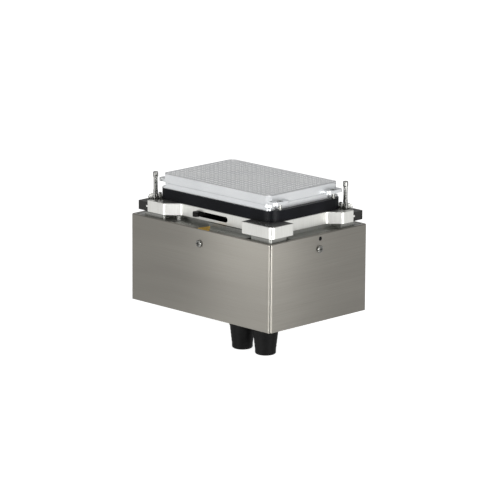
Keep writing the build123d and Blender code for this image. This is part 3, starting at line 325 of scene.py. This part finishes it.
class StudioSettings(bpy.types.PropertyGroup):
    """Camera and lights."""
    azimuth: FloatProperty(name="Azimuth", default=math.radians(44.667), subtype="ANGLE",
                           description="Where the camera stands, turned from the front towards the right")
    elevation: FloatProperty(name="Elevation", default=math.radians(13.370), subtype="ANGLE",
                             description="How far the camera looks down")
    roll: FloatProperty(name="Roll", default=math.radians(0.349), subtype="ANGLE",
                        description="Turn of the camera about its own axis")
    distance: FloatProperty(name="Distance", default=2.7215, unit="LENGTH",
                            description="From the origin, along the camera's axis")
    aim_right: FloatProperty(name="Aim right", default=-0.00149, unit="LENGTH",
                             description="How far right of the camera's axis the origin is")
    aim_up: FloatProperty(name="Aim up", default=-0.040507, unit="LENGTH",
                          description="How far above the camera's axis the origin is")
    lens: FloatProperty(name="Lens", default=260.8, unit="CAMERA",
                        description="Focal length on a 36 mm sensor, in millimetres")
    floor: colour_setting("Floor", "#c0c0c0", "Plain floor")
    softbox: FloatProperty(name="Softboxes", default=2.2, min=0, unit="POWER",
                           description="Power of the top softbox, which the side ones have a share of")
    card: FloatProperty(name="Cards", default=0.085, min=0, unit="POWER",
                        description="Power of each small card beside the sleeve")
    room: FloatProperty(name="Room", default=1.0, min=0,
                        description="Brightness of the room round the object")


# ---- operators: one for each piece or group of like pieces --------------------------------------
class HEATER_OT_sleeve(bpy.types.Operator):
    """Brush the stainless sleeve"""
    bl_idname = "heater.sleeve"
    bl_label = "Stainless sleeve"

    def execute(self, context):
        finish_nodes(brushed_stainless(context.scene.heater_body), "sleeve")
        return {"FINISHED"}


class HEATER_OT_deck(bpy.types.Operator):
    """Finish the deck, the base plate and the posts, and the small parts on the deck"""
    bl_idname = "heater.deck"
    bl_label = "Deck and base"

    def execute(self, context):
        body = context.scene.heater_body
        deck = milled_aluminium("aluminium_plate_face_milled", body.deck_dark, body.deck_light, 0.38, 0.3)
        finish_nodes(deck, "deck_frame", "base_plate", "corner_posts", "bearing_block")
        # Painted shade: the near-black deck seal stands in for the shadow in the gap between the flange and
        # the plinth pads.
        finish_nodes(moulded("painted_gap_shade_cord", "#1a1a1a", "#222222", 0.55), "deck_seal")
        finish_nodes(moulded("polycarbonate_window_black", "#08080a", "#101012", 0.2), "status_lamp")
        finish_nodes(moulded("polyester_film_printed_amber", "#9c7a24", "#c29a38", 0.35), "warning_label")
        return {"FINISHED"}


class HEATER_OT_glands(bpy.types.Operator):
    """Finish the cable glands and their boots"""
    bl_idname = "heater.glands"
    bl_label = "Cable glands"

    def execute(self, context):
        rubber = moulded("rubber_boot_moulded", context.scene.heater_body.rubber, "#0d0d0d", 0.5)
        for number in (1, 2):
            self.boot(f"gland_boot_{number}", rubber)
        nylon = moulded("polyamide_gland_moulded", "#141414", "#1f1f1f", 0.4)
        finish_nodes(nylon, "gland_body_1", "gland_body_2", "gland_nuts")
        return {"FINISHED"}

    def boot(self, node, rubber):
        """A boot with a collar, shallow folds down its taper and a rounded lip round the cable's hole."""
        corners = [NODES[node].matrix_world @ Vector(corner) for corner in NODES[node].bound_box]
        low, high = min(c.z for c in corners) / MM, max(c.z for c in corners) / MM
        middle = sum(corners, Vector()) / len(corners) / MM
        outer = [(BOOT_R - BOOT_EDGE, high), (BOOT_R, high - BOOT_EDGE), (BOOT_R, high - BOOT_COLLAR_L),
                 (BOOT_R - BOOT_STEP, high - BOOT_COLLAR_L - BOOT_EDGE)]
        start, end = high - BOOT_TAPER_TOP, low + BOOT_TAPER_END
        steps = BOOT_FOLDS * BOOT_FOLD_STEPS
        for i in range(steps + 1):
            t = i / steps
            fold = BOOT_FOLD_IN * (1 - math.cos(2 * math.pi * BOOT_FOLDS * t))
            outer.append((BOOT_R - BOOT_STEP + (BOOT_TIP_R - BOOT_R) * t - fold, start + (end - start) * t))
        tip = [(BOOT_TIP_R - 0.35, low + 1.2), (BOOT_TIP_R - 0.7, low + 0.4), (BOOT_TIP_R - 1.4, low)]
        hole = [(BOOT_HOLE_R + BOOT_LIP, low), (BOOT_HOLE_R, low + BOOT_LIP)]
        hole += [(BOOT_HOLE_R, high - BOOT_STUB_L), (BOOT_STUB_R, high - BOOT_STUB_L), (BOOT_STUB_R, high)]
        shape = revolve(outer + tip + hole, middle[:2])
        piece(f"{node}_folded", shape, "base", rubber, (node,))


class HEATER_OT_drive(bpy.types.Operator):
    """Finish the motor, the crank, the bearings and the board"""
    bl_idname = "heater.drive"
    bl_label = "Drive and board"

    def execute(self, context):
        ground = turned_steel("bearing_steel_ground", "#8c8c8e", "#b4b4b6", 0.25)
        finish_nodes(ground, "crank_shaft", "idler_crank_1", "idler_crank_2", "lower_main_bearing",
                     "upper_main_bearing", "platform_bearing", "counterweight", "home_flag")
        finish_nodes(turned_steel("steel_disc_black_oxided", "#141415", "#1e1e20", 0.35), "cam_disc")
        drawn = turned_steel("mild_steel_drawn_zinc_plated", "#8f9092", "#a9aaac", 0.38)
        finish_nodes(drawn, "motor_can", "stator_core", "rotor", "platform_cover")
        finish_nodes(moulded("copper_wire_enamelled", "#7d3e1d", "#a4562b", 0.3, 0.5, 0.1), "windings")
        bronze = turned_steel("tin_bronze_turned", "#8a6a3c", "#a98350", 0.3)
        finish_nodes(bronze, "idler_bushes", "idler_bearings")
        finish_nodes(moulded("epoxy_laminate_green_mask", "#0c3a20", "#12502c", 0.3), "controller_board")
        nylon = moulded("polyamide_socket_moulded", "#161616", "#202020", 0.45)
        finish_nodes(nylon, "board_sockets", "home_sensor")
        return {"FINISHED"}


class HEATER_OT_platform(bpy.types.Operator):
    """Finish the milled platform and its stops"""
    bl_idname = "heater.platform"
    bl_label = "Platform"

    def execute(self, context):
        looks = context.scene.heater_platform
        dark, light = looks.plate_dark, looks.plate_light
        plate = milled_aluminium("aluminium_plate_end_milled", dark, light, 0.34, 0.28)
        finish_nodes(plate, "platform_plate", "nest_stops")
        # Painted shade: a black finish inside the lever slot and the cam pocket stands in for the shade in
        # these recesses of the bare plate.
        inside = moulded("painted_slot_shade_black", "#050505", "#0b0b0b", 0.4)
        self.darken_slot(NODES["platform_plate"], inside)
        return {"FINISHED"}

    def darken_slot(self, plate, inside):
        """Painted shade: black inside the lever slot and the cam pocket, where shade falls, behind the
        plate's front face.
        """
        mesh = plate.data
        mesh.materials.append(inside)
        corners = [plate.matrix_world @ v.co for v in mesh.vertices]
        front = min(corner.y for corner in corners if abs(corner.x) < SLOT_HALF)
        for face in mesh.polygons:
            centre = plate.matrix_world @ face.center
            within = abs(centre.x) < POCKET_R and abs(centre.y) < -front - SLOT_SKIN
            if within and SLOT_LOW < centre.z < SLOT_HIGH:
                face.material_index = 1


class HEATER_OT_hot_plate(bpy.types.Operator):
    """Finish the hot plate, the dimpled block and the insulation"""
    bl_idname = "heater.hot_plate"
    bl_label = "Hot plate and block"

    def execute(self, context):
        looks = context.scene.heater_platform
        block = anodised_aluminium("aluminium_block_bead_blasted", looks.block_dark, looks.block_light, 0.35)
        finish_nodes(block, "adapter_block", "heater_plate")
        drilled = anodised_aluminium("aluminium_dimple_countersunk", "#f6f7f8", "#fdfdfd", 0.3)
        self.brighten_dimples(NODES["adapter_block"], drilled)
        phenolic = moulded("phenolic_frame_moulded", looks.frame_black, "#08090f", 0.38)
        finish_nodes(phenolic, "insulating_frame")
        fibre = moulded("mineral_fibre_board_pressed", "#b9b29b", "#cfc9b4", 0.9, 0.6, 0.05)
        finish_nodes(fibre, "insulation_pad")
        finish_nodes(moulded("silicone_mat_calendered", "#a1401c", "#b54a22", 0.55), "heating_mat")
        finish_nodes(moulded("phenolic_cutout_moulded", "#2c1710", "#3a2015", 0.4), "thermal_cutout")
        finish_nodes(turned_steel("stainless_probe_drawn", "#a0a0a0", "#c0c0c0", 0.25), "temperature_sensor")
        return {"FINISHED"}

    def brighten_dimples(self, block, drilled):
        """The countersink leaves the dimples brighter than the blasted land between them."""
        mesh = block.data
        mesh.materials.append(drilled)
        top = max((block.matrix_world @ v.co).z for v in mesh.vertices)
        for face in mesh.polygons:
            centre = block.matrix_world @ face.center
            inside = abs(centre.x) < DIMPLES_X and abs(centre.y) < DIMPLES_Y
            if inside and top - DIMPLE_DEPTH < centre.z < top - DIMPLE_SKIN:
                face.material_index = 1


class HEATER_OT_lock(bpy.types.Operator):
    """Finish the corner carriages, the holding pins and the lever"""
    bl_idname = "heater.lock"
    bl_label = "Lock"

    def execute(self, context):
        grey = anodised_aluminium("aluminium_carriage_dark_anodised", "#333332", "#3e3e3d", 0.4)
        finish_nodes(grey, "left_carriage", "right_carriage")
        polished = turned_steel("stainless_pin_polished", "#848481", "#a2a29f", 0.08)
        finish_nodes(polished, "left_tall_pin", "right_tall_pin", "left_short_pin", "right_short_pin",
                     "left_cam_pin", "right_cam_pin")
        finish_nodes(moulded("polyamide_lever_moulded", "#050505", "#0a0a0a", 0.35), "lock_lever")
        return {"FINISHED"}


class HEATER_OT_screws(bpy.types.Operator):
    """Finish the screws and spacers"""
    bl_idname = "heater.screws"
    bl_label = "Screws"

    def execute(self, context):
        steel = turned_steel("stainless_screw_turned", "#7c7c79", "#9a9a96", 0.2)
        finish_nodes(steel, "side_screws", "tie_screws", "block_screws", "motor_screws", "cover_screws",
                     "adapter_screws", "frame_screws", "lever_screws", "earth_stud", "board_posts")
        return {"FINISHED"}


class HEATER_OT_studio(bpy.types.Operator):
    """Set up the floor, the lights, the room and the camera"""
    bl_idname = "heater.studio"
    bl_label = "Studio"

    def execute(self, context):
        studio = context.scene.heater_studio
        self.floor(studio)
        self.room(context.scene, studio)
        self.camera(context.scene, studio)
        self.softbox("softbox_front", FRONT_BOX_AT, SIDE_BOX_SIZE, FRONT_SHARE * studio.softbox)
        self.softbox("softbox_right", RIGHT_BOX_AT, SIDE_BOX_SIZE, RIGHT_SHARE * studio.softbox)
        sleeve_only = bpy.data.collections.new("card_receivers")
        sleeve_only.objects.link(NODES["sleeve"])
        for name, place in CARDS.items():
            card = self.softbox(name, place, CARD_SIZE, studio.card)
            card.light_linking.receiver_collection = sleeve_only
        self.softbox("softbox_top", TOP_BOX_AT, TOP_BOX_SIZE, studio.softbox)
        return {"FINISHED"}

    def floor(self, studio):
        """A sheet of pale paper under the object, left out of its reflections."""
        made, tree, shader = material("seamless_paper_matt", Roughness=0.9)
        cloud = noise(tree, (0.002, 0.002, 0.002), 2.0)
        tree.links.new(blend_colours(tree, cloud, studio.floor, "#c4c4c4"), shader.inputs["Base Color"])
        shader.inputs["Emission Color"].default_value = linear("#ffffff")
        shader.inputs["Emission Strength"].default_value = FLOOR_GLOW
        shape = bmesh.new()
        bmesh.ops.create_grid(shape, x_segments=FLOOR_CELLS, y_segments=FLOOR_CELLS, size=FLOOR_HALF)
        mesh = bpy.data.meshes.new("studio_floor")
        shape.to_mesh(mesh)
        shape.free()
        floor = bpy.data.objects.new("studio_floor", mesh)
        floor.location.z = CAD_BOX[0][2]
        mesh.materials.append(made)
        bpy.context.scene.collection.objects.link(floor)
        floor.visible_glossy = False

    def room(self, scene, studio):
        """A room with a bright band on the studio's front, fixed in place and dimmer overhead."""
        world = bpy.data.worlds.new("studio_room")
        world.use_nodes = True
        tree = world.node_tree
        tree.nodes.clear()
        towards = (math.sin(studio.azimuth), -math.cos(studio.azimuth), 0.0)
        way = add(tree, "ShaderNodeTexCoord").outputs["Generated"]
        both = {0: way, 1: towards}
        facing = add(tree, "ShaderNodeVectorMath", both, operation="DOT_PRODUCT").outputs["Value"]
        ramp = add(tree, "ShaderNodeValToRGB", {"Fac": spread(tree, facing, 0.0, 1.0, -1.0, 1.0)})
        stops = ramp.color_ramp.elements
        stops[0].position = 0.0
        stops[0].color = ROOM_BACK
        stops[1].position = 1.0
        stops[1].color = ROOM_FRONT
        for place, level in ROOM_STOPS:
            stops.new(place).color = (level, level, level, 1)
        height = add(tree, "ShaderNodeSeparateXYZ", {"Vector": way}).outputs["Z"]
        shade = spread(tree, height, studio.room, ROOM_DIM * studio.room, ROOM_DIM_FROM, ROOM_DIM_TO)
        room = add(tree, "ShaderNodeBackground", {"Color": ramp.outputs["Color"], "Strength": shade})
        add(tree, "ShaderNodeOutputWorld", {"Surface": room.outputs["Background"]})
        scene.world = world
        scene.view_settings.view_transform = "Standard"

    def softbox(self, name, place, size, power):
        """A rectangular light that faces the point that all of them look at."""
        light = bpy.data.lights.new(name, "AREA")
        light.shape = "RECTANGLE"
        light.size, light.size_y = size
        light.energy = power
        lamp = bpy.data.objects.new(name, light)
        away = (Vector(place) - Vector((0, 0, AIM_Z))).to_track_quat("Z", "Y").to_matrix().to_4x4()
        lamp.matrix_world = Matrix.Translation(place) @ away
        bpy.context.scene.collection.objects.link(lamp)
        return lamp

    def camera(self, scene, studio):
        """A camera set by its angles, its distance and where it aims."""
        a, e, r = studio.azimuth, studio.elevation, studio.roll
        back = Vector((math.sin(a) * math.cos(e), -math.cos(a) * math.cos(e), math.sin(e)))
        right = Vector((math.cos(a), math.sin(a), 0))
        up = back.cross(right)
        rolled_right = math.cos(r) * right + math.sin(r) * up
        rolled_up = math.cos(r) * up - math.sin(r) * right
        place = studio.distance * back - studio.aim_right * rolled_right - studio.aim_up * rolled_up
        lens = bpy.data.cameras.new("camera")
        lens.lens = studio.lens
        lens.sensor_width = SENSOR_MM
        lens.clip_end = CLIP_END
        camera = bpy.data.objects.new("camera", lens)
        turn = Matrix((rolled_right, rolled_up, back)).transposed().to_4x4()
        camera.matrix_world = Matrix.Translation(place) @ turn
        scene.collection.objects.link(camera)
        scene.camera = camera


OPERATORS = (HEATER_OT_sleeve, HEATER_OT_deck, HEATER_OT_glands, HEATER_OT_drive, HEATER_OT_platform,
             HEATER_OT_hot_plate, HEATER_OT_lock, HEATER_OT_screws, HEATER_OT_studio)


class HEATER_PT_panel(bpy.types.Panel):
    """Lists the settings and the pieces"""
    bl_idname = "HEATER_PT_panel"
    bl_label = "Block heater"
    bl_space_type = "VIEW_3D"
    bl_region_type = "UI"
    bl_category = "Block heater"

    def draw(self, context):
        for group in (context.scene.heater_body, context.scene.heater_platform, context.scene.heater_studio):
            box = self.layout.box()
            for name in group.__annotations__:
                box.prop(group, name)
        for operator in OPERATORS:
            self.layout.operator(operator.bl_idname)


GROUPS = {"heater_body": BodyFinish, "heater_platform": PlatformFinish, "heater_studio": StudioSettings}


def register():
    for made in (*GROUPS.values(), *OPERATORS, HEATER_PT_panel):
        bpy.utils.register_class(made)
    for name, group in GROUPS.items():
        setattr(bpy.types.Scene, name, PointerProperty(type=group))


def unregister():
    for name in GROUPS:
        delattr(bpy.types.Scene, name)
    for made in (HEATER_PT_panel, *OPERATORS, *GROUPS.values()):
        bpy.utils.unregister_class(made)


def main():
    register()
    for operator in OPERATORS:
        group, name = operator.bl_idname.split(".")
        getattr(getattr(bpy.ops, group), name)()


if __name__ == "__main__":
    main()
